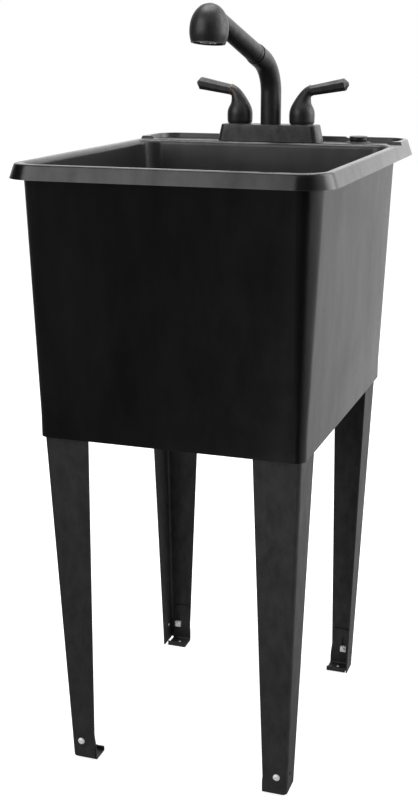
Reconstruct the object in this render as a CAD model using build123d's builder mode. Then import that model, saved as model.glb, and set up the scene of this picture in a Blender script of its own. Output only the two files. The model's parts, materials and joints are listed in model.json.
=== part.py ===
import os
from math import atan2, cos, degrees, pi, radians, sin, tan

from build123d import *

os.makedirs("parts", exist_ok=True)

# ---- driving dimensions, in millimetres -------------------------------------------------
# Floor at z = 0, the user stands on the -Y side, the taps are at the +Y side.
rim_width = 440.0
rim_depth = 583.0
rim_top = 879.2
rim_height = 19.4          # height of the rim's outer face
rim_flare = 7.0            # the outer face leans out by this much from top to bottom
rim_corner = 46.0
wall = 4.0                 # moulded wall
socket_corner = 7.5        # inside corner of the skirt, round a leg's bend
rim_edge = 3.5             # rounding of the rim's outer top edge
bowl_edge = 8.0            # and of its inner one
rim_wall = 3.5

skirt_bottom = 509.0
skirt_height = 30.0        # straight band at the bottom of the body
body_low = (187.8, 264.2, 214.8)     # half width, front, back at the skirt
body_high = (201.6, 272.9, 221.2)    # half width, front, back under the rim
body_corner_low = 15.0
body_corner_high = 29.0

bowl_floor = 592.0
bowl_back_low = 172.0      # inside of the bowl's rear wall, at the floor
bowl_back_high = 177.5     # and at the rim
bowl_corner_low = 24.0
bowl_corner_high = 28.0
floor_radius = 12.0        # between the bowl's walls and its floor
dish_radius = 160.0        # the floor falls to the drain inside this circle
dish_fall = 9.0
drain_y = -39.0

deck_top = 876.0
deck_front = 188.0         # the bowl's rear rim ends here
deck_back = 276.0
deck_half = 202.0
deck_corner = 28.0
deck_slope = 22.0          # lean of the walls round the deck, in degrees
lip_top = 883.0            # raised edge round the deck
lip_front = 190.0
lip_edge = 1.2
lip_notch = (104.0, 140.0, 881.0)    # from x, to x, bottom

leg_top = 587.9
leg_bottom = 3.4
leg_steel = 2.0
leg_bend = 6.0
leg_corner_top = (182.3, 257.2, 207.0)     # x, front y, back y at the skirt's bottom
leg_corner_low = (165.0, 235.0, 184.3)     # the same at the leg's bottom
leg_flange_top = 65.5      # flange width at the skirt's bottom
leg_flange_low = 34.6
leg_side_extra = 4.0       # the side flange is wider by this much
foot_screw_up = 27.0       # screw height above the leg's bottom
foot_screw_in = 15.5       # screw distance from the leg's corner
screw_hole = 3.4

foot_steel = 2.5
foot_height = 65.5
foot_depth = 29.5
foot_base_width = 31.5
foot_plate_width = 27.0
foot_flare = (19.0, 42.0)  # the plate narrows between these heights
foot_gap = 3.2             # room beside the leg's side flange
foot_lip = 7.5
foot_travel = 18.0
anchor_hole = 3.25
anchor_in = 17.0           # anchor hole distance from the foot's back face

faucet_y = 210.5
handle_spacing = 101.6     # four-inch centreset
base_low = (166.6, 45.0)
base_high = (154.4, 41.0)
base_bottom = 877.5
base_top = 904.4
base_wall = 2.5

shank_radius = 10.4
shank_bottom = 822.0
valve_radius = 12.4
valve_top = 911.0
hose_hole = 18.5

spout_radius = 16.2
spout_bore = 13.4
spout_foot = 888.0
spout_turn = radians(-10.3)     # the photographed swivel, from straight ahead
wand_rise = radians(21.7)
spout_knee = 990.5              # where the tube's axis meets the wand's axis
spout_bend = 56.0
seam_reach = 54.0               # horizontal distance from the tube's axis to the seam
outlet_reach = 202.5            # and to the outlet's centre
outlet_z = 1027.7
head_tilt = radians(8.0)

stopper_place = (141.5, 213.0)
stopper_hole = 19.0

corners = {
    "front_left": (-1, -1),
    "front_right": (1, -1),
    "rear_left": (-1, 1),
    "rear_right": (1, 1),
}
taps = {"hot": -1, "cold": 1}


def save(piece, name):
    """Label a finished piece and write its file."""
    piece.part.label = name
    export_step(piece.part, f"parts/{name}.step")


def mix(low, high, share):
    return low + (high - low) * share


def body_at(z):
    """Half width, front and back of the body's outside at a height."""
    share = (z - skirt_bottom - skirt_height) / (rim_top - rim_height - skirt_bottom - skirt_height)
    return [mix(low, high, max(0.0, share)) for low, high in zip(body_low, body_high)]


# ---- tub --------------------------------------------------------------------------------
skirt_top = skirt_bottom + skirt_height
rim_low = rim_top - rim_height
drain_axis = Axis((0, drain_y, 0), (0, 0, 1))
drain_xz = Plane.XZ.offset(-drain_y)

with BuildPart() as tub:
    # outside of the body: a straight band, then walls that widen up to the rim
    half, front, back = body_low
    with BuildSketch(Plane.XY.offset(skirt_bottom)):
        with Locations((0, (back - front) / 2)):
            RectangleRounded(2 * half, front + back, body_corner_low)
    extrude(amount=skirt_height)
    with BuildSketch(Plane.XY.offset(skirt_top)):
        with Locations((0, (back - front) / 2)):
            RectangleRounded(2 * half, front + back, body_corner_low)
    half, front, back = body_high
    with BuildSketch(Plane.XY.offset(rim_low)):
        with Locations((0, (back - front) / 2)):
            RectangleRounded(2 * half, front + back, body_corner_high)
    loft()

    # hollow below the bowl's floor, with tighter corners that hold the legs
    half, front, back = [size - wall for size in body_low]
    with BuildSketch(Plane.XY.offset(skirt_bottom)):
        with Locations((0, (back - front) / 2)):
            RectangleRounded(2 * half, front + back, socket_corner)
    extrude(amount=skirt_height, mode=Mode.SUBTRACT)
    with BuildSketch(Plane.XY.offset(skirt_top)):
        with Locations((0, (back - front) / 2)):
            RectangleRounded(2 * half, front + back, socket_corner)
    half, front, back = [size - wall for size in body_at(bowl_floor - wall)]
    with BuildSketch(Plane.XY.offset(bowl_floor - wall)):
        with Locations((0, (back - front) / 2)):
            RectangleRounded(2 * half, front + back, socket_corner)
    loft(mode=Mode.SUBTRACT)

    # underside of the dished floor
    with BuildSketch(drain_xz):
        with BuildLine():
            Polyline(
                (0, bowl_floor - wall - dish_fall),
                (36, bowl_floor - wall - dish_fall),
                (dish_radius, bowl_floor - wall),
                (0, bowl_floor - wall),
                close=True,
            )
        make_face()
    revolve(axis=Axis((0, drain_y, 0), (0, 0, 1)))

    # rim: a slab with a leaning outer face and a raised edge round the deck
    with BuildSketch(Plane.XY.offset(rim_low)):
        RectangleRounded(rim_width, rim_depth, rim_corner)
    with BuildSketch(Plane.XY.offset(rim_top)):
        RectangleRounded(rim_width - 2 * rim_flare, rim_depth - 2 * rim_flare, rim_corner - rim_flare)
    loft()
    # bowl
    half, front, back = [size - wall for size in body_at(bowl_floor)]
    with BuildSketch(Plane.XY.offset(bowl_floor)):
        with Locations((0, (bowl_back_low - front) / 2)):
            RectangleRounded(2 * half, front + bowl_back_low, bowl_corner_low)
    half, front, back = [size - wall for size in body_at(rim_top)]
    with BuildSketch(Plane.XY.offset(rim_top)):
        with Locations((0, (bowl_back_high - front) / 2)):
            RectangleRounded(2 * half, front + bowl_back_high, bowl_corner_high)
    loft(mode=Mode.SUBTRACT)
    top_edges = tub.edges().filter_by_position(Axis.Z, rim_top - 0.1, rim_top + 0.1)
    inner_edges = top_edges.filter_by(lambda e: abs(e.center().X) < half + 1 and -front - 1 < e.center().Y < back)
    fillet(inner_edges, bowl_edge)
    top_edges = tub.edges().filter_by_position(Axis.Z, rim_top - 0.1, rim_top + 0.1)
    outer_edges = top_edges.filter_by(lambda e: abs(e.center().X) > half + 11 or abs(e.center().Y) > front + 11)
    fillet(outer_edges, rim_edge)
    floor_edges = tub.edges().filter_by_position(Axis.Z, bowl_floor - 0.1, bowl_floor + 0.1)
    fillet(floor_edges, floor_radius)
    with BuildSketch(drain_xz):
        with BuildLine():
            Polyline(
                (0, bowl_floor - dish_fall),
                (36, bowl_floor - dish_fall),
                (dish_radius, bowl_floor),
                (0, bowl_floor),
                close=True,
            )
        make_face()
    revolve(axis=drain_axis, mode=Mode.SUBTRACT)

    # raised edge round the deck, flush with the rim's leaning face
    lip_low = rim_top - 3
    for z, lean in ((lip_low, 3), (lip_top, rim_top - lip_top)):
        inset = rim_flare - rim_flare * lean / rim_height
        with BuildSketch(Plane.XY.offset(z)):
            RectangleRounded(rim_width - 2 * inset, rim_depth - 2 * inset, rim_corner - inset)
            with Locations((0, lip_front + (z - lip_low) / 2 - 500)):
                Rectangle(600, 1000, mode=Mode.SUBTRACT)
    loft()
    fillet(tub.edges().group_by(Axis.Z)[-1].sort_by(Axis.Y)[1:], lip_edge)

    # hollow under the rim, round the outside of the body
    half, front, back = body_at(rim_low)
    hollow_half = rim_width / 2 - rim_wall
    hollow_back = rim_depth / 2 - rim_wall
    with BuildSketch(Plane.XY.offset(rim_low)):
        RectangleRounded(2 * hollow_half, 2 * hollow_back, rim_corner - rim_wall)
        with Locations((0, (back - front) / 2)):
            RectangleRounded(2 * half, front + back, body_corner_high, mode=Mode.SUBTRACT)
    extrude(amount=deck_top - wall - rim_low, taper=degrees(atan2(rim_flare, rim_height)), mode=Mode.SUBTRACT)

    # deck, a step below the rim
    with BuildSketch(Plane.XY.offset(deck_top)):
        with Locations((0, (deck_front + deck_back) / 2)):
            RectangleRounded(2 * deck_half, deck_back - deck_front, deck_corner)
    extrude(amount=10, taper=-deck_slope, mode=Mode.SUBTRACT)
    notch_from, notch_to, notch_bottom = lip_notch
    with BuildSketch(Plane.XZ.offset(-deck_back + 4)):
        with BuildLine():
            Polyline(
                (notch_from, lip_top + 1),
                (notch_from + 5, notch_bottom),
                (notch_to - 5, notch_bottom),
                (notch_to, lip_top + 1),
                close=True,
            )
        make_face()
    extrude(amount=-30, mode=Mode.SUBTRACT)

    # open bay behind the bowl, where the tap tails hang
    bay_low = bowl_floor + wall
    bay_high = deck_top - wall
    half = body_at(bay_low)[0] - wall
    with BuildSketch(Plane.XY.offset(bay_low)):
        with Locations((0, (bowl_back_low + wall + 250) / 2)):
            Rectangle(2 * half, 250 - bowl_back_low - wall)
    half = body_at(bay_high)[0] - wall
    with BuildSketch(Plane.XY.offset(bay_high)):
        with Locations((0, (bowl_back_high + wall + 250) / 2)):
            Rectangle(2 * half, 250 - bowl_back_high - wall)
    loft(mode=Mode.SUBTRACT)

    # ribs under the deck, from the bowl's rear wall to the rim
    for x in (-112, 112):
        with BuildSketch(Plane.YZ.offset(x - 2)):
            with BuildLine():
                Polyline(
                    (bowl_back_high + wall - 1, deck_top - wall + 0.5),
                    (hollow_back - rim_flare - 1, deck_top - wall + 0.5),
                    (hollow_back - rim_flare - 1, deck_top - wall - 8),
                    (bowl_back_high + wall - 2, deck_top - 70),
                    close=True,
                )
            make_face()
        extrude(amount=4)

    # socket ribs that keep each leg against the skirt
    half, front, back = body_low
    for side, end in corners.values():
        wall_y = -front if end < 0 else back
        with BuildSketch(Plane.XY.offset(bowl_floor - wall + 0.5)):
            with Locations((side * (half - 40), wall_y - end * 10.6)):
                Rectangle(44, 3)
            with Locations((side * (half - 9.5), wall_y - end * 40)):
                Rectangle(3, 44)
        extrude(amount=-60)

    # drain hole with a seat for its flange
    with Locations((0, drain_y, bowl_floor - dish_fall)):
        CounterBoreHole(26, 36, 2.5, depth=40)

    # holes in the deck: two valve tails, the hose, and the stopper's rest
    with Locations(
        (-handle_spacing / 2, faucet_y, deck_top),
        (handle_spacing / 2, faucet_y, deck_top),
    ):
        Hole(13, depth=12)
    with Locations((0, faucet_y, deck_top)):
        Hole(hose_hole, depth=12)
    with Locations((*stopper_place, deck_top)):
        Hole(stopper_hole, depth=12)
save(tub, "tub")


# ---- legs -------------------------------------------------------------------------------
def leg_corner(z, end):
    """Distances of a leg's outer corner from the middle planes at a height."""
    share = (z - leg_bottom) / (skirt_bottom - leg_bottom)
    index = 1 if end < 0 else 2
    x = mix(leg_corner_low[0], leg_corner_top[0], share)
    y = mix(leg_corner_low[index], leg_corner_top[index], share)
    return x, y, mix(leg_flange_low, leg_flange_top, share)


def flange_plane(side, end):
    """Plane on the outside of a leg's front or rear flange, at its screw, facing out."""
    z = leg_bottom + foot_screw_up
    x, y, width = leg_corner(z, end)
    slope = atan2(leg_corner(skirt_bottom, end)[1] - leg_corner(leg_bottom, end)[1], skirt_bottom - leg_bottom)
    return Plane(
        origin=(side * (x - foot_screw_in), end * y, z),
        x_dir=(1, 0, 0),
        z_dir=(0, end * cos(slope), -sin(slope)),
    )


for name, (side, end) in corners.items():
    with BuildPart() as leg:
        for z in (leg_bottom, leg_top):
            x, y, width = leg_corner(z, end)
            x, y, along, across = side * x, end * y, -side * width, -end * (width + leg_side_extra)
            step_x, step_y = -side * leg_steel, -end * leg_steel
            with BuildSketch(Plane.XY.offset(z)) as section:
                with BuildLine():
                    Polyline(
                        (x, y),
                        (x + along, y),
                        (x + along, y + step_y),
                        (x + step_x, y + step_y),
                        (x + step_x, y + across),
                        (x, y + across),
                        close=True,
                    )
                make_face()
                outer = section.vertices().sort_by_distance((x, y, 0))[0]
                fillet(outer, leg_bend)
                inner = section.vertices().sort_by_distance((x + step_x, y + step_y, 0))[0]
                fillet(inner, leg_bend - leg_steel)
        loft(ruled=True)
        # one hole in each flange, so that the same leg fits either side
        with BuildSketch(flange_plane(side, end).offset(2)):
            Circle(screw_hole)
        extrude(amount=-8, mode=Mode.SUBTRACT)
        x, y, width = leg_corner(leg_bottom + foot_screw_up, end)
        with BuildSketch(
            Plane(
                origin=(side * (x + 2), end * (y - foot_screw_in), leg_bottom + foot_screw_up),
                z_dir=(side, 0, 0),
            )
        ):
            Circle(screw_hole)
        extrude(amount=-8, mode=Mode.SUBTRACT)
    save(leg, f"leg_{name}")

# ---- levelling feet: a slotted angle inside each leg, held by one screw -------------------
for name, (side, end) in corners.items():
    seat = leg_steel + 0.1
    low_y = leg_corner(0, end)[1] - seat
    high_y = leg_corner(foot_height, end)[1] - seat
    turn_y = leg_corner(foot_steel, end)[1] - seat
    outer_x = leg_corner(leg_bottom, end)[0] - leg_steel - foot_gap
    middle_x = side * (outer_x - foot_base_width / 2)
    with BuildPart() as foot:
        with BuildSketch(Plane.YZ.offset(middle_x - foot_base_width / 2)) as profile:
            with BuildLine():
                Polyline(
                    (end * high_y, foot_height),
                    (end * low_y, 0),
                    (end * (low_y - foot_depth), 0),
                    (end * (low_y - foot_depth), foot_lip),
                    (end * (low_y - foot_depth + foot_steel), foot_lip),
                    (end * (low_y - foot_depth + foot_steel), foot_steel),
                    (end * (turn_y - foot_steel), foot_steel),
                    (end * (high_y - foot_steel), foot_height),
                    close=True,
                )
            make_face()
            heel = profile.vertices().sort_by_distance((end * low_y, 0, 0))[0]
            fillet(heel, 3.5)
            bend = profile.vertices().sort_by_distance((end * (turn_y - foot_steel), foot_steel, 0))[0]
            fillet(bend, 3.0)
        extrude(amount=foot_base_width)
        # outline from the front: wide base, narrower plate, round top corners
        with BuildSketch(Plane.XZ) as outline:
            with BuildLine():
                Polyline(
                    (middle_x - foot_base_width / 2, -1),
                    (middle_x + foot_base_width / 2, -1),
                    (middle_x + foot_base_width / 2, foot_flare[0]),
                    (middle_x + foot_plate_width / 2, foot_flare[1]),
                    (middle_x + foot_plate_width / 2, foot_height),
                    (middle_x - foot_plate_width / 2, foot_height),
                    (middle_x - foot_plate_width / 2, foot_flare[1]),
                    (middle_x - foot_base_width / 2, foot_flare[0]),
                    close=True,
                )
            make_face()
            fillet(outline.vertices().group_by(Axis.Y)[-1], 6)
        extrude(amount=400, both=True, mode=Mode.INTERSECT)
        # slot for the screw: it reaches up by the foot's travel
        with BuildSketch(flange_plane(side, end)):
            with Locations((0, -end * foot_travel / 2)):
                SlotCenterToCenter(foot_travel, 2 * screw_hole, rotation=90)
        extrude(amount=-12, mode=Mode.SUBTRACT)
        anchor_y = end * (low_y - foot_depth + anchor_in)
        with Locations((middle_x, anchor_y, foot_steel)):
            Hole(anchor_hole, depth=10)
    save(foot, f"foot_{name}")

# ---- screws and square nuts at the feet ---------------------------------------------------
screw_radius = 3.0
with BuildPart() as foot_screws:
    for side, end in corners.values():
        face = flange_plane(side, end)
        with BuildSketch(Plane(origin=face.origin, x_dir=face.x_dir, z_dir=-face.y_dir)):
            with BuildLine():
                Polyline((0, 3.2), (0, -13), (screw_radius, -13), (screw_radius, 0), (5, 0), (5, 1.2))
                ThreePointArc((5, 1.2), (3.4, 2.75), (0, 3.2))
            make_face()
        revolve(axis=Axis(face.origin, face.z_dir))
    for side, end in corners.values():
        with BuildSketch(flange_plane(side, end).offset(3.3)):
            Rectangle(4.8, 1.1)
            Rectangle(1.1, 4.8)
        extrude(amount=-2.0, mode=Mode.SUBTRACT)
save(foot_screws, "foot_screws")

with BuildPart() as foot_nuts:
    for side, end in corners.values():
        with BuildSketch(flange_plane(side, end).offset(-leg_steel - foot_steel - 0.25)):
            RectangleRounded(9.8, 9.8, 0.8)
            Circle(screw_radius, mode=Mode.SUBTRACT)
        extrude(amount=-4.6)
save(foot_nuts, "foot_nuts")

# ---- drain --------------------------------------------------------------------------------
drain_seat = bowl_floor - dish_fall - 2.5
floor_under = bowl_floor - wall - dish_fall

with BuildPart() as drain_flange:
    with BuildSketch(drain_xz):
        with BuildLine():
            Polyline(
                (19, drain_seat + 1),
                (24, drain_seat + 2.2),
                (35, drain_seat + 2.6),
                (35.4, drain_seat + 0.2),
                (23.6, drain_seat + 0.2),
                (23.6, drain_seat - 42),
                (19, drain_seat - 42),
                close=True,
            )
        make_face()
    revolve(axis=drain_axis)
    # crossbars of the strainer
    with BuildSketch(Plane.XY.offset(drain_seat - 9)):
        with Locations((0, drain_y)):
            Circle(20)
            Circle(16.5, mode=Mode.SUBTRACT)
            Rectangle(39, 3)
            Rectangle(3, 39)
            Circle(5)
    extrude(amount=2.5)
save(drain_flange, "drain_flange")

with BuildPart() as drain_gasket:
    with BuildSketch(Plane.XY.offset(floor_under - 3.2)):
        with Locations((0, drain_y)):
            Circle(34)
            Circle(23.7, mode=Mode.SUBTRACT)
    extrude(amount=3)
save(drain_gasket, "drain_gasket")

with BuildPart() as drain_washer:
    with BuildSketch(Plane.XY.offset(floor_under - 4.6)):
        with Locations((0, drain_y)):
            Circle(34)
            Circle(23.7, mode=Mode.SUBTRACT)
    extrude(amount=1.3)
save(drain_washer, "drain_washer")

with BuildPart() as drain_locknut:
    with BuildSketch(Plane.XY.offset(floor_under - 13)):
        with Locations((0, drain_y)):
            Circle(31)
            with PolarLocations(31, 6):
                Rectangle(7, 9)
            Circle(23.7, mode=Mode.SUBTRACT)
    extrude(amount=8.2)
save(drain_locknut, "drain_locknut")

tail_radius = 19.05
tail_bottom = 452.0
with BuildPart() as drain_tailpiece:
    with BuildSketch(drain_xz):
        with BuildLine():
            Polyline(
                (17.4, drain_seat - 42.2),
                (24.5, drain_seat - 42.2),
                (24.5, drain_seat - 44.2),
                (tail_radius - 0.2, drain_seat - 44.2),
                (tail_radius - 0.2, drain_seat - 49),
                (tail_radius, drain_seat - 49.5),
                (tail_radius, tail_bottom),
                (17.4, tail_bottom),
                close=True,
            )
        make_face()
    revolve(axis=drain_axis)
save(drain_tailpiece, "drain_tailpiece")

with BuildPart() as tailpiece_nut:
    with BuildSketch(drain_xz):
        with BuildLine():
            Polyline(
                (23.8, drain_seat - 26),
                (29, drain_seat - 26),
                (30, drain_seat - 28),
                (30, drain_seat - 48),
                (19.2, drain_seat - 48),
                (19.2, drain_seat - 44.5),
                (24.8, drain_seat - 44.5),
                (24.8, drain_seat - 41),
                (23.8, drain_seat - 41),
                close=True,
            )
        make_face()
    revolve(axis=drain_axis)
    with BuildSketch(Plane.XY.offset(drain_seat - 47)):
        with Locations((0, drain_y)):
            with PolarLocations(30.5, 12):
                Rectangle(3, 4)
    extrude(amount=18)
save(tailpiece_nut, "tailpiece_nut")

# ---- stopper, parked in its hole in the deck ------------------------------------------------
stop_x, stop_y = stopper_place
stopper_axis = Axis((stop_x, stop_y, 0), (0, 0, 1))
stopper_xz = Plane.XZ.offset(-stop_y)
knob_seat = deck_top + 5.5
with BuildPart() as stopper_plug:
    with BuildSketch(stopper_xz):
        with BuildLine():
            Polyline(
                (stop_x, knob_seat),
                (stop_x + 14.5, knob_seat),
                (stop_x + 21.5, deck_top + 2.6),
                (stop_x + 23.0, deck_top + 1.6),
                (stop_x + 23.0, deck_top),
                (stop_x + 18.6, deck_top),
                (stop_x + 18.4, deck_top - 4),
                (stop_x + 16.0, deck_top - 15),
                (stop_x, deck_top - 15),
                close=True,
            )
        make_face()
    revolve(axis=stopper_axis)
    with Locations((stop_x, stop_y, knob_seat)):
        Hole(4, depth=12)
save(stopper_plug, "stopper_plug")

with BuildPart() as stopper_knob:
    with BuildSketch(stopper_xz):
        with BuildLine():
            Polyline(
                (stop_x, knob_seat + 7.4),
                (stop_x + 12.9, knob_seat + 7.4),
                (stop_x + 13.9, knob_seat + 6.5),
                (stop_x + 13.9, knob_seat + 1.6),
                (stop_x + 12.6, knob_seat),
                (stop_x + 4.0, knob_seat),
                (stop_x + 4.0, knob_seat - 11.5),
                (stop_x, knob_seat - 11.5),
                close=True,
            )
        make_face()
    revolve(axis=stopper_axis)
save(stopper_knob, "stopper_knob")

# ---- tap base -------------------------------------------------------------------------------
with BuildPart() as faucet_base:
    for z, (length, depth), corner in ((base_bottom, base_low, 11), (base_top, base_high, 9)):
        with BuildSketch(Plane.XY.offset(z)):
            with Locations((0, faucet_y)):
                RectangleRounded(length, depth, corner)
    loft()
    fillet(faucet_base.faces().sort_by(Axis.Z)[-1].edges(), 1.8)
    inner_top = base_top - 3
    for z, (length, depth), corner in ((base_bottom, base_low, 9), (inner_top, base_high, 7)):
        with BuildSketch(Plane.XY.offset(z)):
            with Locations((0, faucet_y)):
                RectangleRounded(length - 2 * base_wall, depth - 2 * base_wall, corner)
    loft(mode=Mode.SUBTRACT)
    with Locations(
        (-handle_spacing / 2, faucet_y, base_top),
        (handle_spacing / 2, faucet_y, base_top),
    ):
        Hole(valve_radius + 0.1, depth=6)
    with Locations((0, faucet_y, base_top)):
        Hole(17.6, depth=6)
save(faucet_base, "faucet_base")

with BuildPart() as base_gasket:
    with BuildSketch(Plane.XY.offset(deck_top)):
        with Locations((0, faucet_y)):
            RectangleRounded(base_low[0] - 1, base_low[1] - 1, 10.5)
            RectangleRounded(base_low[0] - 12, base_low[1] - 12, 5, mode=Mode.SUBTRACT)
    extrude(amount=base_bottom - deck_top)
save(base_gasket, "base_gasket")

with BuildPart() as mixing_body:
    with BuildSketch(Plane.XY.offset(884)):
        with Locations((0, faucet_y)):
            Circle(18.6)
            Rectangle(handle_spacing - 16, 10)
            Circle(spout_radius + 0.4, mode=Mode.SUBTRACT)
            with Locations((-handle_spacing / 2, 0), (handle_spacing / 2, 0)):
                Circle(valve_radius, mode=Mode.SUBTRACT)
    extrude(amount=7.5)
    # outlet tail that feeds the hose, on a bridge under the spout's end
    with BuildSketch(Plane.XY.offset(884)):
        with Locations((0, faucet_y + 13.5)):
            Rectangle(7, 10)
    extrude(amount=3)
    with BuildSketch(Plane.XY.offset(848)):
        with Locations((0, faucet_y + 11.6)):
            Circle(3.6)
    extrude(amount=36)
save(mixing_body, "mixing_body")

for name, side in taps.items():
    tap_x = side * handle_spacing / 2
    tap_axis = Axis((tap_x, faucet_y, 0), (0, 0, 1))
    with BuildPart() as valve_body:
        with BuildSketch(Plane.XZ.offset(-faucet_y)):
            with BuildLine():
                Polyline(
                    (tap_x + 6, shank_bottom),
                    (tap_x + shank_radius, shank_bottom),
                    (tap_x + shank_radius, deck_top),
                    (tap_x + 16, deck_top),
                    (tap_x + 16, deck_top + 3),
                    (tap_x + valve_radius, deck_top + 3),
                    (tap_x + valve_radius, valve_top),
                    (tap_x + 9.05, valve_top),
                    (tap_x + 9.05, 888),
                    (tap_x + 6, 888),
                    close=True,
                )
            make_face()
        revolve(axis=tap_axis)
    save(valve_body, f"{name}_valve_body")

    with BuildPart() as mounting_nut:
        with BuildSketch(Plane.XY.offset(deck_top - wall - 9.2)):
            with Locations((tap_x, faucet_y)):
                Circle(14)
                with PolarLocations(15, 4):
                    RectangleRounded(8, 5, 1.5)
                Circle(shank_radius, mode=Mode.SUBTRACT)
        extrude(amount=7)
    save(mounting_nut, f"{name}_mounting_nut")

    with BuildPart() as mounting_washer:
        with BuildSketch(Plane.XY.offset(deck_top - wall - 2.1)):
            with Locations((tap_x, faucet_y)):
                Circle(16.5)
                Circle(shank_radius + 0.1, mode=Mode.SUBTRACT)
        extrude(amount=2)
    save(mounting_washer, f"{name}_mounting_washer")

    with BuildPart() as cartridge:
        with BuildSketch(Plane.XZ.offset(-faucet_y)):
            with BuildLine():
                Polyline(
                    (tap_x + 4.05, 896),
                    (tap_x + 4.05, valve_top + 2),
                    (tap_x + 8.0, valve_top + 2),
                    (tap_x + 9.0, valve_top + 1),
                    (tap_x + 9.0, 888.2),
                    (tap_x + 5.0, 888.2),
                    (tap_x + 5.0, 889.5),
                    (tap_x, 889.5),
                    (tap_x, 896),
                    close=True,
                )
            make_face()
        revolve(axis=tap_axis)
    save(cartridge, f"{name}_cartridge")

    with BuildPart() as seat_ring:
        with BuildSketch(Plane.XY.offset(base_top)):
            with Locations((tap_x, faucet_y)):
                Circle(17.6)
                Circle(valve_radius + 0.1, mode=Mode.SUBTRACT)
        extrude(amount=1.3)
        fillet(seat_ring.faces().sort_by(Axis.Z)[-1].edges().sort_by(SortBy.RADIUS)[-1], 0.6)
    save(seat_ring, f"{name}_seat_ring")

# ---- handles: a bulb, a neck that leans out, and an eight-sided lever ------------------------
handle_back = radians(3.0)      # the photographed turn of both levers towards the back
lever_pitch = 79.6              # the lever's plane of section, from level
neck_rows = (                   # outward, up from the base's top, radius, tilt of the section
    (0.0, 1.7, 18.9, 0),
    (0.0, 8.0, 20.0, 0),
    (0.0, 15.0, 20.1, 0),
    (0.0, 22.0, 19.2, 0),
    (0.2, 28.0, 16.9, 3),
    (1.4, 34.4, 13.7, 12),
    (4.4, 41.5, 11.0, 30),
    (8.3, 47.9, 9.3, 55),
    (13.0, 52.1, 8.3, lever_pitch),
)
lever_rows = ((1.6, 8.4), (54.5, 10.2), (60.8, 2.6))     # along the lever, radius


def handle_plane(side, out, up, tilt):
    """A section plane of a handle: out from the stem's axis, up from the base's top."""
    outward = Vector(side * cos(handle_back), sin(handle_back), 0)
    upward = Vector(0, 0, 1)
    lean = radians(tilt)
    hub = Vector(side * handle_spacing / 2, faucet_y, base_top)
    return Plane(
        origin=hub + outward * out + upward * up,
        x_dir=outward * cos(lean) - upward * sin(lean),
        z_dir=outward * sin(lean) + upward * cos(lean),
    )


stem_top = base_top + 19.0
for name, side in taps.items():
    tap_x = side * handle_spacing / 2
    joint_plane = handle_plane(side, *neck_rows[-1][:2], lever_pitch)
    screw_plane = Plane(origin=(tap_x, faucet_y + 24, base_top + 15.0), z_dir=(0, 1, 0))
    with BuildPart() as handle:
        for out, up, radius, tilt in neck_rows:
            with BuildSketch(handle_plane(side, out, up, tilt)):
                Circle(radius)
        loft()
        with BuildSketch(joint_plane):
            Circle(7.4)
        extrude(amount=1.6)
        for along, radius in lever_rows[:2]:
            with BuildSketch(joint_plane.offset(along)):
                RegularPolygon(radius, 8, rotation=22.5)
        loft()
        for along, radius in lever_rows[1:]:
            with BuildSketch(joint_plane.offset(along)):
                RegularPolygon(radius, 8, rotation=22.5)
        loft()
        # room for the valve's top, the stem and its set screw
        with BuildSketch(Plane.XY.offset(base_top)):
            with Locations((tap_x, faucet_y)):
                Circle(14.2)
        extrude(amount=10, mode=Mode.SUBTRACT)
        with BuildSketch(Plane.XY.offset(base_top)):
            with Locations((tap_x, faucet_y)):
                Circle(4.02)
        extrude(amount=stem_top - base_top + 0.3, mode=Mode.SUBTRACT)
        with BuildSketch(screw_plane):
            Circle(2.5)
        extrude(amount=-24 + 3.95, mode=Mode.SUBTRACT)
    save(handle, f"{name}_handle")

    with BuildPart() as index_ring:
        with BuildSketch(joint_plane):
            Circle(8.8)
            Circle(7.4, mode=Mode.SUBTRACT)
        extrude(amount=1.6)
    save(index_ring, f"{name}_index_ring")

    with BuildPart() as stem:
        with BuildSketch(Plane.XY.offset(896.3)):
            with Locations((tap_x, faucet_y)):
                Circle(4.0)
        extrude(amount=stem_top - 896.3)
    save(stem, f"{name}_stem")

    with BuildPart() as set_screw:
        with BuildSketch(screw_plane.offset(-24 + 4.1)):
            Circle(2.45)
        extrude(amount=7)
        with BuildSketch(screw_plane.offset(-24 + 11.1)):
            RegularPolygon(1.3, 6)
        extrude(amount=-3, mode=Mode.SUBTRACT)
    save(set_screw, f"{name}_set_screw")

# ---- spout ------------------------------------------------------------------------------------
spout_ahead = Vector(sin(spout_turn), -cos(spout_turn), 0)
wand_ahead = spout_ahead * cos(wand_rise) + Vector(0, 0, sin(wand_rise))
spout_plane = Plane(
    origin=(0, faucet_y, 0),
    x_dir=spout_ahead,
    z_dir=spout_ahead.cross(Vector(0, 0, 1)),
)
bend_angle = pi / 2 - wand_rise
bend_run = spout_bend * tan(bend_angle / 2)
seam_up = spout_knee + seam_reach * tan(wand_rise)
seam_plane = Plane(
    origin=Vector(0, faucet_y, seam_up) + spout_ahead * seam_reach,
    x_dir=spout_plane.z_dir,
    z_dir=wand_ahead,
)
bend_end = (bend_run * cos(wand_rise), spout_knee + bend_run * sin(wand_rise))


def spout_route(bottom, reach):
    """Axis of the spout: up, round the bend, and out along the wand's axis."""
    with BuildLine(spout_plane) as route:
        Line((0, bottom), (0, spout_knee - bend_run))
        RadiusArc((0, spout_knee - bend_run), bend_end, spout_bend)
        Line(bend_end, (reach, spout_knee + reach * tan(wand_rise)))
    return route.line


with BuildPart() as spout_tube:
    with BuildSketch(Plane.XY.offset(spout_foot)):
        with Locations((0, faucet_y)):
            Circle(spout_radius)
            Circle(spout_bore, mode=Mode.SUBTRACT)
    sweep(path=spout_route(spout_foot, seam_reach))
save(spout_tube, "spout_tube")

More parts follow.
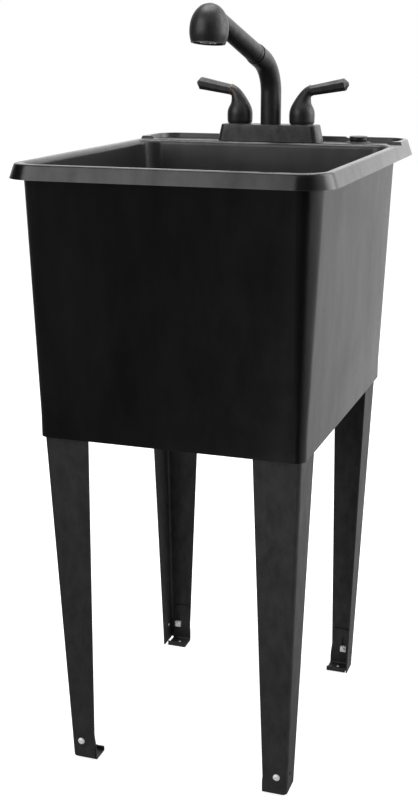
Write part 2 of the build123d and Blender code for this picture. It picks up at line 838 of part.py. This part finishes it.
with BuildPart() as spout_bushing:
    with BuildSketch(Plane.XY.offset(base_top - 9)):
        with Locations((0, faucet_y)):
            Circle(17.6)
            Circle(spout_radius + 0.05, mode=Mode.SUBTRACT)
    extrude(amount=9)
save(spout_bushing, "spout_bushing")

with BuildPart() as spout_retainer:
    with BuildSketch(Plane.XY.offset(base_top - 12)):
        with Locations((0, faucet_y)):
            Circle(18.0)
            Circle(spout_radius, mode=Mode.SUBTRACT)
            with Locations((0, 17)):
                Rectangle(7, 6, mode=Mode.SUBTRACT)
    extrude(amount=2)
save(spout_retainer, "spout_retainer")

# ---- pull-out wand and its hose ----------------------------------------------------------------
neck_length = 16.0
collar_length = 8.0
hose_radius = 6.0
hose_bottom = 800.0
hose_reach = seam_reach - (neck_length + 0.1) * cos(wand_rise)

with BuildPart() as spray_hose:
    with BuildSketch(Plane.XY.offset(hose_bottom)):
        with Locations((0, faucet_y)):
            Circle(hose_radius)
            Circle(hose_radius - 2, mode=Mode.SUBTRACT)
    sweep(path=spout_route(hose_bottom, hose_reach))
save(spray_hose, "spray_hose")

with BuildPart() as hose_fitting:
    with BuildSketch(Plane.XY.offset(hose_bottom - 26)):
        with Locations((0, faucet_y)):
            Circle(7)
            Circle(3.5, mode=Mode.SUBTRACT)
    extrude(amount=26)
    with BuildSketch(Plane.XY.offset(hose_bottom - 26)):
        with Locations((0, faucet_y)):
            RegularPolygon(9.5, 6)
            Circle(3.5, mode=Mode.SUBTRACT)
    extrude(amount=11)
save(hose_fitting, "hose_fitting")

# the head's own frame: origin at the outlet's centre, +Z up its axis
head_plane = Plane(
    origin=Vector(0, faucet_y, outlet_z) + spout_ahead * outlet_reach,
    x_dir=spout_ahead * cos(head_tilt) + Vector(0, 0, sin(head_tilt)),
    z_dir=Vector(0, 0, cos(head_tilt)) - spout_ahead * sin(head_tilt),
)
head_side = Plane(origin=head_plane.origin, x_dir=head_plane.x_dir, z_dir=-head_plane.y_dir)
head_axis = Axis(head_plane.origin, head_plane.z_dir)
head_rows = (
    (24.8, 0.0),
    (27.0, 8.0),
    (28.0, 17.0),
    (27.7, 25.5),
    (25.6, 34.5),
    (22.0, 42.2),
    (16.8, 48.6),
    (11.3, 52.7),
    (5.6, 54.9),
    (0.0, 55.5),
)

with BuildPart() as spray_head:
    with BuildSketch(head_side):
        with BuildLine():
            Spline(head_rows, tangents=((0.25, 1), (-1, 0)))
            Polyline(head_rows[-1], (0, 0), head_rows[0])
        make_face()
    revolve(axis=head_axis)
    # the water chamber and the recess for the spray face
    with BuildSketch(head_plane):
        Circle(21.8)
    extrude(amount=7, mode=Mode.SUBTRACT)
    with BuildSketch(head_plane.offset(7)):
        Circle(19)
    extrude(amount=26, mode=Mode.SUBTRACT)
    with BuildSketch(seam_plane.offset(60)):
        Circle(8)
    extrude(amount=(outlet_reach - seam_reach) / cos(wand_rise) - 60, mode=Mode.SUBTRACT)
save(spray_head, "spray_head")

wand_end = 13.8
wand_length = (outlet_reach - seam_reach) / cos(wand_rise) - 22
with BuildPart() as spray_wand:
    with BuildSketch(seam_plane.offset(0.3)):
        Circle(14.8)
    with BuildSketch(seam_plane.offset(wand_length)):
        Circle(wand_end)
    loft()
    with Locations(seam_plane.offset(wand_length)):
        Sphere(wand_end)
    with BuildSketch(seam_plane.offset(-neck_length)):
        Circle(spout_bore - 0.3)
    extrude(amount=neck_length + 0.3)
    with BuildSketch(seam_plane.offset(-neck_length)):
        Circle(8)
    extrude(amount=wand_length + neck_length + 14, mode=Mode.SUBTRACT)
    with BuildSketch(head_side):
        with BuildLine():
            Spline(head_rows, tangents=((0.25, 1), (-1, 0)))
            Polyline(head_rows[-1], (0, 0), head_rows[0])
        make_face()
    revolve(axis=head_axis, mode=Mode.SUBTRACT)
    # groove for the collar at the seam
    with BuildSketch(seam_plane.offset(0.3)):
        Circle(17)
        Circle(13.6, mode=Mode.SUBTRACT)
    extrude(amount=collar_length, mode=Mode.SUBTRACT)
save(spray_wand, "spray_wand")

with BuildPart() as wand_collar:
    with BuildSketch(seam_plane.offset(0.3)):
        Circle(15.2)
        Circle(13.6, mode=Mode.SUBTRACT)
    extrude(amount=collar_length)
    fillet(wand_collar.edges().filter_by(GeomType.CIRCLE).sort_by(SortBy.RADIUS)[-2:], 0.4)
save(wand_collar, "wand_collar")

with BuildPart() as spray_face:
    with BuildSketch(head_plane.offset(2)):
        Circle(21.7)
        Circle(11.7, mode=Mode.SUBTRACT)
        with PolarLocations(16.8, 20):
            Circle(0.9, mode=Mode.SUBTRACT)
    extrude(amount=5)
save(spray_face, "spray_face")

with BuildPart() as aerator:
    with BuildSketch(head_plane.offset(0.8)):
        Circle(11.6)
        Circle(9.2, mode=Mode.SUBTRACT)
    extrude(amount=8)
    with BuildSketch(head_plane.offset(3)):
        Circle(9.4)
        with GridLocations(2.6, 2.6, 5, 5):
            Rectangle(1.6, 1.6, mode=Mode.SUBTRACT)
    extrude(amount=1.5)
save(aerator, "aerator")
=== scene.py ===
import json
import math

import bmesh
import bpy
from mathutils import Matrix, Vector


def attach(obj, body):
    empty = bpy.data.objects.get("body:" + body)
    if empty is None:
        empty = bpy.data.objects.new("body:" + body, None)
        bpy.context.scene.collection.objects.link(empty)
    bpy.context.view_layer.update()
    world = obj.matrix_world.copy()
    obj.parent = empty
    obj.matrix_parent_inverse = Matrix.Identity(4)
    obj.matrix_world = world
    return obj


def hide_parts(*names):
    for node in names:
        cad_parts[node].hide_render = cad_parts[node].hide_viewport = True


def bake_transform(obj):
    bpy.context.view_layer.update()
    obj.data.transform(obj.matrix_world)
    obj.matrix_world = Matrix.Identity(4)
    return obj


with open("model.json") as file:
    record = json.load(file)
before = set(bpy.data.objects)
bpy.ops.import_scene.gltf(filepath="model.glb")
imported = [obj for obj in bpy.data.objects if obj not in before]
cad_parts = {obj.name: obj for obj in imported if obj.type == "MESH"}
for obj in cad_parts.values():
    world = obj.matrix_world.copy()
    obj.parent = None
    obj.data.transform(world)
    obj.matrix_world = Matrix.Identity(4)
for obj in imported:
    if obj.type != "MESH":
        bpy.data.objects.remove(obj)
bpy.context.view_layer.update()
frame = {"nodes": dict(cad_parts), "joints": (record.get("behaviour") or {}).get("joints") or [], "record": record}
nodes = frame["nodes"]
print("frame loaded:", len(nodes), "nodes")

cameraView = {
    "place": (0.5698, -1.7548, 1.031),
    "pitch": 15.85,     # degrees down
    "yaw": 18.90,       # degrees round to the left of straight ahead
    "lens": 56.91,
    "sensor": 36.0,
}

cameraData = bpy.data.cameras.new("photoCamera")
cameraData.lens = cameraView["lens"]
cameraData.sensor_width = cameraView["sensor"]
cameraData.sensor_fit = "AUTO"
camera = bpy.data.objects.new("photoCamera", cameraData)
camera.location = cameraView["place"]
camera.rotation_euler = (
    math.radians(90 - cameraView["pitch"]),
    0,
    math.radians(cameraView["yaw"]),
)
bpy.context.scene.collection.objects.link(camera)
bpy.context.scene.camera = camera


# short ways to write the shader nodes used below
def addNode(tree, kind, inputs=None, **fields):
    node = tree.nodes.new(kind)
    for field, value in fields.items():
        setattr(node, field, value)
    for socket, value in (inputs or {}).items():
        if isinstance(value, bpy.types.NodeSocket):
            tree.links.new(value, node.inputs[socket])
        else:
            node.inputs[socket].default_value = value
    return node


def combine(tree, operation, first, second, clamp=False):
    node = addNode(tree, "ShaderNodeMath", {0: first, 1: second}, operation=operation, use_clamp=clamp)
    return node.outputs[0]


def combineVectors(tree, operation, first, second):
    return addNode(tree, "ShaderNodeVectorMath", {0: first, 1: second}, operation=operation).outputs["Vector"]


def measure(tree, operation, first, second):
    return addNode(tree, "ShaderNodeVectorMath", {0: first, 1: second}, operation=operation).outputs["Value"]


def remap(tree, value, span, target=(0.0, 1.0), curve="LINEAR"):
    return addNode(tree, "ShaderNodeMapRange", {
        "Value": value, "From Min": span[0], "From Max": span[1],
        "To Min": target[0], "To Max": target[1]}, interpolation_type=curve).outputs[0]


def noise(tree, place, scale, detail, roughness=0.5):
    return addNode(tree, "ShaderNodeTexNoise", {
        "Vector": place, "Scale": scale, "Detail": detail, "Roughness": roughness}).outputs[0]


def mixValues(tree, share, first, second):
    return addNode(tree, "ShaderNodeMix", {0: share, 2: first, 3: second}, data_type="FLOAT").outputs[0]


def mixColours(tree, share, first, second):
    return addNode(tree, "ShaderNodeMix", {0: share, 6: first, 7: second}, data_type="RGBA").outputs[2]


def opaque(colour, strength=1.0):
    return (*[channel * strength for channel in colour], 1)


def objectPlace(tree):
    return addNode(tree, "ShaderNodeTexCoord").outputs["Object"]


def faceNormal(tree):
    return addNode(tree, "ShaderNodeNewGeometry").outputs["Normal"]


def newGroup(name, inputs, output):
    group = bpy.data.node_groups.new(name, "ShaderNodeTree")
    for label, value in inputs.items():
        socket = group.interface.new_socket(label, in_out="INPUT", socket_type="NodeSocketFloat")
        socket.default_value = value
    group.interface.new_socket(output, in_out="OUTPUT", socket_type="NodeSocketFloat")
    return group, addNode(group, "NodeGroupInput").outputs


def endGroup(group, value):
    addNode(group, "NodeGroupOutput", {0: value})


def useGroup(tree, group, **values):
    return addNode(tree, "ShaderNodeGroup", values, node_tree=group).outputs[0]


# fine moulded or sprayed texture: a fine grain over a slow waviness
grainShape = {"detail": 3.0, "roughness": 0.55, "slowScale": 0.045, "slowDetail": 1.0}
grainGroup, given = newGroup("surfaceGrain", {"Scale": 900, "Waviness": 0.3}, "Height")
place = objectPlace(grainGroup)
fine = noise(grainGroup, place, given["Scale"], grainShape["detail"], grainShape["roughness"])
slowScale = combine(grainGroup, "MULTIPLY", given["Scale"], grainShape["slowScale"])
slow = noise(grainGroup, place, slowScale, grainShape["slowDetail"])
waves = combine(grainGroup, "MULTIPLY", slow, given["Waviness"])
endGroup(grainGroup, combine(grainGroup, "ADD", fine, waves))

# cloudy change of finish, which can be drawn out along Z into streaks
cloudShape = {"detail": 4.0, "roughness": 0.6, "span": (0.3, 0.7)}
cloudGroup, given = newGroup("cloudyFinish", {"Scale": 14, "Stretch": 1, "Low": 0.3, "High": 0.5}, "Value")
stretch = addNode(cloudGroup, "ShaderNodeCombineXYZ", {0: 1.0, 1: 1.0, 2: given["Stretch"]})
stretched = combineVectors(cloudGroup, "MULTIPLY", objectPlace(cloudGroup), stretch.outputs[0])
cloud = noise(cloudGroup, stretched, given["Scale"], cloudShape["detail"], cloudShape["roughness"])
endGroup(cloudGroup, remap(cloudGroup, cloud, cloudShape["span"], (given["Low"], given["High"])))

# rubbed edges, broken up by a noise
wearShape = {
    "edgeSpan": (0.99, 0.8),    # how alike the rounded and the true normal are, from no wear to full
    "patchScale": 160.0, "patchDetail": 3.0, "patchSpan": (0.4, 0.62),
}
wearGroup, given = newGroup("edgeWear", {"Radius": 0.001, "Amount": 0.5}, "Mask")
rounded = addNode(wearGroup, "ShaderNodeBevel", {"Radius": given["Radius"]}, samples=4)
alike = measure(wearGroup, "DOT_PRODUCT", rounded.outputs[0], faceNormal(wearGroup))
edge = remap(wearGroup, alike, wearShape["edgeSpan"])
broken = noise(wearGroup, objectPlace(wearGroup), wearShape["patchScale"], wearShape["patchDetail"])
worn = combine(wearGroup, "MULTIPLY", edge, remap(wearGroup, broken, wearShape["patchSpan"]))
endGroup(wearGroup, combine(wearGroup, "MULTIPLY", worn, given["Amount"], clamp=True))

# a little dust, only where the surface faces up
dustShape = {"upSpan": (0.6, 0.98), "detail": 5.0, "roughness": 0.7, "thickSpan": (0.42, 0.75)}
dustGroup, given = newGroup("settledDust", {"Scale": 60, "Amount": 0.1}, "Mask")
upwards = addNode(dustGroup, "ShaderNodeSeparateXYZ", {0: faceNormal(dustGroup)}).outputs[2]
facing = remap(dustGroup, upwards, dustShape["upSpan"])
specks = noise(dustGroup, objectPlace(dustGroup), given["Scale"], dustShape["detail"], dustShape["roughness"])
lying = combine(dustGroup, "MULTIPLY", facing, remap(dustGroup, specks, dustShape["thickSpan"]))
endGroup(dustGroup, combine(dustGroup, "MULTIPLY", lying, given["Amount"], clamp=True))

# the bowl's inside: faces that look towards the middle of the bowl, where the tub is rougher and its colour is
# lifted as painted light
insideShape = {"forward": -0.03, "facingSpan": (0.02, 0.08)}
insideGroup, given = newGroup("bowlInside", {"Height": 0.79}, "Mask")
middle = addNode(insideGroup, "ShaderNodeCombineXYZ", {1: insideShape["forward"], 2: given["Height"]})
inwards = combineVectors(insideGroup, "SUBTRACT", middle.outputs[0], objectPlace(insideGroup))
turned = measure(insideGroup, "DOT_PRODUCT", inwards, faceNormal(insideGroup))
endGroup(insideGroup, remap(insideGroup, turned, insideShape["facingSpan"]))
print("shader groups built")

# what a finish has unless it says otherwise
plainFinish = {
    "wear": 0.4,            # how far the edges are rubbed
    "metal": 0.0,
    "cloud": 80,            # the clouds' scale
    "stretch": 1,           # under 1 draws them out along Z
    "grain": 1800,
    "waviness": 0.3,
    "depth": 0.00003,       # of the grain, in metres
    "specular": 0.5,
    "dust": 0.0,
}
finishes = {
    "tub_plastic": {
        "colour": (0.0025, 0.0025, 0.0026), "worn": (0.05, 0.05, 0.05), "wear": 0.5,
        "rough": (0.19, 0.25), "cloud": 9, "stretch": 0.35, "grain": 700, "waviness": 2.6,
        "depth": 0.00012, "dust": 0.02,
        # inside the bowl the plastic is rougher, and its lighter colour is painted light for the light the inner
        # walls catch
        "inside": {"rough": 0.28, "colour": (0.03, 0.03, 0.0305)}},
    "leg_steel": {
        "colour": (0.018, 0.018, 0.0185), "worn": (0.12, 0.12, 0.12), "wear": 0.35,
        "rough": (0.42, 0.52), "cloud": 30, "stretch": 0.5, "grain": 1300, "waviness": 0.5,
        "depth": 0.0001, "dust": 0.03},
    "zinc": {
        "colour": (0.9, 0.9, 0.9), "worn": (0.95, 0.95, 0.95), "wear": 0.5, "metal": 0.35,
        "rough": (0.4, 0.5), "cloud": 260, "grain": 2500, "waviness": 0.4},
    "drain_steel": {
        "colour": (0.56, 0.56, 0.56), "worn": (0.7, 0.7, 0.7), "metal": 1.0,
        "rough": (0.22, 0.36), "cloud": 120, "grain": 1600},
    "drain_plastic": {
        "colour": (0.02, 0.02, 0.021), "worn": (0.06, 0.06, 0.06),
        "rough": (0.4, 0.55), "cloud": 40, "grain": 900, "waviness": 0.4, "depth": 0.00008},
    "seal_rubber": {
        "colour": (0.014, 0.014, 0.0145), "worn": (0.04, 0.04, 0.04), "wear": 0.3,
        "rough": (0.45, 0.6), "cloud": 50, "grain": 1500, "waviness": 0.4,
        "depth": 0.00008, "specular": 0.4, "dust": 0.05},
    "stopper_black": {
        "colour": (0.01, 0.01, 0.0105), "worn": (0.05, 0.05, 0.05),
        "rough": (0.3, 0.42), "cloud": 60, "grain": 1500, "waviness": 0.4,
        "depth": 0.00005, "dust": 0.02},
    "tap_black": {
        "colour": (0.016, 0.016, 0.0165), "worn": (0.09, 0.085, 0.08), "wear": 0.25,
        "rough": (0.33, 0.43), "cloud": 45, "stretch": 0.6, "grain": 2600, "waviness": 0.35,
        "dust": 0.01},
    # the seat rings are black; their grey colour is a painted highlight for the light line along them
    "seat_black": {
        "colour": (0.09, 0.09, 0.09), "worn": (0.2, 0.2, 0.2),
        "rough": (0.22, 0.32), "depth": 0.00004},
    "brass": {
        "colour": (0.6, 0.43, 0.2), "worn": (0.75, 0.6, 0.35), "wear": 0.5, "metal": 1.0,
        "rough": (0.25, 0.4), "cloud": 120, "stretch": 4},
    "hot_mark": {
        "colour": (0.16, 0.03, 0.015), "worn": (0.3, 0.07, 0.04), "wear": 0.3,
        "rough": (0.28, 0.36), "cloud": 90},
    "cold_mark": {
        "colour": (0.02, 0.022, 0.03), "worn": (0.08, 0.09, 0.12), "wear": 0.3,
        "rough": (0.28, 0.36), "cloud": 90},
    "hose_black": {
        "colour": (0.02, 0.02, 0.02), "worn": (0.06, 0.06, 0.06),
        "rough": (0.4, 0.55), "grain": 1200, "waviness": 0.4, "depth": 0.0001},
    "outlet_silver": {
        "colour": (0.7, 0.7, 0.71), "worn": (0.85, 0.85, 0.85), "wear": 0.3, "metal": 1.0,
        "rough": (0.2, 0.3), "cloud": 120, "depth": 0.00002},
}
finishHabits = {
    "tintScale": 2.3,           # the tint's clouds are this much smaller than the roughness's
    "tintSpread": (0.85, 1.15),
    "sheenSpread": (0.72, 1.28),
    "wearRadius": 0.0012,
    "dustScale": 70,
    "dustColour": (0.45, 0.43, 0.4),
}


def makeFinish(name, look):
    look = {**plainFinish, **look}
    material = bpy.data.materials.new(name)
    material.use_nodes = True
    tree = material.node_tree
    shader = tree.nodes["Principled BSDF"]
    shader.inputs["Metallic"].default_value = look["metal"]

    rough = useGroup(tree, cloudGroup, Scale=look["cloud"], Stretch=look["stretch"],
                     Low=look["rough"][0], High=look["rough"][1])
    tint = useGroup(tree, cloudGroup, Scale=look["cloud"] * finishHabits["tintScale"],
                    Stretch=look["stretch"], Low=0.0, High=1.0)
    # the sheen comes and goes in soft patches
    sheenRange = [look["specular"] * share for share in finishHabits["sheenSpread"]]
    tree.links.new(remap(tree, tint, (0.0, 1.0), sheenRange), shader.inputs["Specular IOR Level"])

    colour = mixColours(tree, tint, *[opaque(look["colour"], share) for share in finishHabits["tintSpread"]])
    wear = useGroup(tree, wearGroup, Radius=finishHabits["wearRadius"], Amount=look["wear"])
    colour = mixColours(tree, wear, colour, opaque(look["worn"]))
    dust = useGroup(tree, dustGroup, Scale=finishHabits["dustScale"], Amount=look["dust"])
    colour = mixColours(tree, dust, colour, opaque(finishHabits["dustColour"]))
    # the bowl's inside: a rougher finish, and a lighter colour that is painted light on the same plastic
    if "inside" in look:
        insideMatteAndPaintedLight = useGroup(tree, insideGroup)
        rough = mixValues(tree, insideMatteAndPaintedLight, rough, look["inside"]["rough"])
        colour = mixColours(tree, insideMatteAndPaintedLight, colour, opaque(look["inside"]["colour"]))
    tree.links.new(rough, shader.inputs["Roughness"])
    tree.links.new(colour, shader.inputs["Base Color"])

    grain = useGroup(tree, grainGroup, Scale=look["grain"], Waviness=look["waviness"])
    bump = addNode(tree, "ShaderNodeBump", {"Height": grain, "Strength": 1.0, "Distance": look["depth"]})
    tree.links.new(bump.outputs[0], shader.inputs["Normal"])
    return material


materials = {name: makeFinish(name, look) for name, look in finishes.items()}
slotOf = {entry["node"]: entry["material_slot"] for entry in frame["record"]["subparts"]}
for name, node in nodes.items():
    node.data.materials.clear()
    node.data.materials.append(materials[slotOf[name]])
print("finishes placed:", len(materials))

# smooth copies of the turned, drawn and moulded pieces
bodies = frame["record"]["behaviour"]["bodies"]
bodyOf = {name: body for body, members in bodies.items() for name in members}
corners = ["front_left", "front_right", "rear_left", "rear_right"]
smoothNodes = [
    "spout_tube", "spray_wand", "spray_head", "wand_collar", "hot_handle", "cold_handle",
    "hot_seat_ring", "cold_seat_ring", "hot_index_ring", "cold_index_ring", "stopper_plug", "stopper_knob",
    "faucet_base", "tub", "foot_screws", "foot_nuts", "drain_flange", "drain_tailpiece",
    *["foot_" + corner for corner in corners],
    *["leg_" + corner for corner in corners],
]
smoothing = {
    "angle": 32,        # an edge sharper than this many degrees stays sharp
    "merge": 1e-6,      # corners closer than this are one
    "sliver": 1e-7,
}


def smoothCopy(name):
    mesh = nodes[name].data.copy()
    shape = bmesh.new()
    shape.from_mesh(mesh)
    bmesh.ops.remove_doubles(shape, verts=shape.verts, dist=smoothing["merge"])
    bmesh.ops.dissolve_degenerate(shape, edges=shape.edges, dist=smoothing["sliver"])
    sharpest = math.radians(smoothing["angle"])
    for face in shape.faces:
        face.smooth = True
    for edge in shape.edges:
        edge.smooth = len(edge.link_faces) == 2 and edge.calc_face_angle(0) < sharpest
    shape.to_mesh(mesh)
    shape.free()
    piece = bpy.data.objects.new(name + "_skin", mesh)
    bpy.context.scene.collection.objects.link(piece)
    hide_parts(name)
    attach(piece, bodyOf[name])


for name in smoothNodes:
    smoothCopy(name)
print("smooth skins:", len(smoothNodes))

# the hose that shows when the wand is pulled out, from the spout's mouth into the wand
pullHose = {
    "knee": (0, 0.2105, 0.9905),    # where the spout's upright and its arm meet
    "arm": 0.054,                   # level distance from there to the spout's mouth
    "radius": 0.006,
    "back": 0.016,                  # it starts this far inside the spout
    "ahead": 0.030,                 # and ends this far inside the wand
    "sides": 32,
    "rings": 40,
}


def straightTube(sides, radius, rings, length):
    tube = bmesh.new()
    bmesh.ops.create_circle(tube, segments=sides, radius=radius)
    step = length / rings
    for ring in range(rings):
        # only the last circle made is drawn out
        top = [edge for edge in tube.edges if all(vert.co.z > (ring - 0.5) * step for vert in edge.verts)]
        drawn = bmesh.ops.extrude_edge_only(tube, edges=top)["geom"]
        raised = [item for item in drawn if isinstance(item, bmesh.types.BMVert)]
        bmesh.ops.translate(tube, vec=(0, 0, step), verts=raised)
    bmesh.ops.recalc_face_normals(tube, faces=tube.faces)
    for face in tube.faces:
        face.smooth = True
    return tube


pullAxis = Vector(next(joint["axis"] for joint in frame["joints"] if joint["name"] == "wand_pull"))
mouth = Vector(pullHose["knee"]) + pullAxis * pullHose["arm"] / math.hypot(pullAxis.x, pullAxis.y)
hoseStart = mouth - pullAxis * pullHose["back"]
hoseLength = pullHose["back"] + pullHose["ahead"]
tube = straightTube(pullHose["sides"], pullHose["radius"], pullHose["rings"], hoseLength)
alongWand = pullAxis.to_track_quat("Z", "Y").to_matrix().to_4x4()
bmesh.ops.transform(tube, verts=tube.verts, matrix=Matrix.Translation(hoseStart) @ alongWand)
hoseMesh = bpy.data.meshes.new("pull_hose")
tube.to_mesh(hoseMesh)
tube.free()
hoseMesh.materials.append(materials["hose_black"])
hosePiece = bpy.data.objects.new("pull_hose", hoseMesh)
bpy.context.scene.collection.objects.link(hosePiece)
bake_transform(hosePiece)
print("pull hose:", len(hoseMesh.polygons), "faces")

# what glossy surfaces see round the object: dark towards the viewer, light behind and to its right
surround = {
    "lightSide": (0.55, 0.84, 0.0),
    "front": 0.035,
    "back": 1.45, "backSpan": (-0.35, 0.75),
    "floor": 0.66, "floorSpan": (-0.9, 1.2),        # metres across the floor
    "leftSide": (-0.9, -0.43, 0.0),
    "left": 0.11, "leftSpan": (0.1, 1.4),
    "patch": 1.0, "patchPlace": (0.12, -1.15, 0.0),     # a lit patch of floor before the right leg
    "patchReach": 0.75,
    "overhead": 0.6, "overheadSpan": (0.45, 0.85),
}


def lightSideGloss(tree, place, span, most):
    along = measure(tree, "DOT_PRODUCT", place, surround["lightSide"])
    return remap(tree, along, span, (surround["front"], most), curve="SMOOTHSTEP")


floorLook = {
    "size": 9.0,
    "colour": (0.82, 0.82, 0.82),
    "roughness": 0.9,
    "lift": 0.72,       # how far it is lifted to white for the camera
}


def floorGloss(tree):
    place = objectPlace(tree)
    behind = lightSideGloss(tree, place, surround["floorSpan"], surround["floor"])
    leftwards = measure(tree, "DOT_PRODUCT", place, surround["leftSide"])
    left = remap(tree, leftwards, surround["leftSpan"], (0.0, surround["left"]), curve="SMOOTHSTEP")
    away = measure(tree, "DISTANCE", place, surround["patchPlace"])
    patch = remap(tree, away, (surround["patchReach"], 0.0), (0.0, surround["patch"]), curve="SMOOTHSTEP")
    return combine(tree, "MAXIMUM", behind, combine(tree, "MAXIMUM", left, patch))


def whiteGlow(tree, strength):
    return addNode(tree, "ShaderNodeEmission", {"Color": (1, 1, 1, 1), "Strength": strength}).outputs[0]


def makeFloorMaterial():
    material = bpy.data.materials.new("paleFloor")
    material.use_nodes = True
    tree = material.node_tree
    shader = tree.nodes["Principled BSDF"]
    shader.inputs["Base Color"].default_value = opaque(floorLook["colour"])
    shader.inputs["Roughness"].default_value = floorLook["roughness"]
    shader.inputs["Specular IOR Level"].default_value = 0.0
    rays = addNode(tree, "ShaderNodeLightPath")
    lift = combine(tree, "MULTIPLY", rays.outputs["Is Camera Ray"], floorLook["lift"])
    plain = addNode(tree, "ShaderNodeAddShader", {0: shader.outputs[0], 1: whiteGlow(tree, lift)})
    seen = addNode(tree, "ShaderNodeMixShader", {
        0: rays.outputs["Is Glossy Ray"], 1: plain.outputs[0], 2: whiteGlow(tree, floorGloss(tree))})
    tree.links.new(seen.outputs[0], tree.nodes["Material Output"].inputs["Surface"])
    return material


floorShape = bmesh.new()
bmesh.ops.create_grid(floorShape, x_segments=2, y_segments=2, size=floorLook["size"])
floorData = bpy.data.meshes.new("studioFloor")
floorShape.to_mesh(floorData)
floorShape.free()
floorData.materials.append(makeFloorMaterial())
floor = bpy.data.objects.new("studioFloor", floorData)
bpy.context.scene.collection.objects.link(floor)

skyLight = 0.5      # what the sky gives matt surfaces; the camera sees it white
world = bpy.data.worlds.new("studioSky")
bpy.context.scene.world = world
world.use_nodes = True
tree = world.node_tree
background = tree.nodes["Background"]
background.inputs["Color"].default_value = (1, 1, 1, 1)
direction = addNode(tree, "ShaderNodeTexCoord").outputs["Generated"]
sides = lightSideGloss(tree, direction, surround["backSpan"], surround["back"])
height = addNode(tree, "ShaderNodeSeparateXYZ", {0: direction}).outputs[2]
above = remap(tree, height, surround["overheadSpan"], (0.0, surround["overhead"]), curve="SMOOTHSTEP")
rays = addNode(tree, "ShaderNodeLightPath")
seenByGloss = mixValues(tree, rays.outputs["Is Glossy Ray"], skyLight, combine(tree, "MAXIMUM", sides, above))
seenByCamera = mixValues(tree, rays.outputs["Is Camera Ray"], seenByGloss, 1.0)
tree.links.new(seenByCamera, background.inputs["Strength"])
print("floor and sky built")

lamps = {
    "rightSoftbox": {"place": (2.1, 0.9, 1.7), "aim": (0.1, 0, 0.7), "size": (1.6, 2.2), "power": 36},
    "overheadSoftbox": {"place": (-0.2, 0.3, 2.9), "aim": (0, 0, 0.8), "size": (1.8, 1.4), "power": 34},
    "frontSoftbox": {"place": (-2.0, -3.0, 2.3), "aim": (0, -0.2, 0.9), "size": (3.0, 2.6), "power": 60},
}
for name, lamp in lamps.items():
    lampData = bpy.data.lights.new(name, "AREA")
    lampData.shape = "RECTANGLE"
    lampData.size, lampData.size_y = lamp["size"]
    lampData.energy = lamp["power"]
    lampObject = bpy.data.objects.new(name, lampData)
    lampObject.location = lamp["place"]
    aim = Vector(lamp["aim"]) - Vector(lamp["place"])
    lampObject.rotation_euler = aim.to_track_quat("-Z", "Y").to_euler()
    bpy.context.scene.collection.objects.link(lampObject)
print("stage lit by", len(lamps), "lamps")

bpy.context.scene.view_settings.view_transform = "Standard"
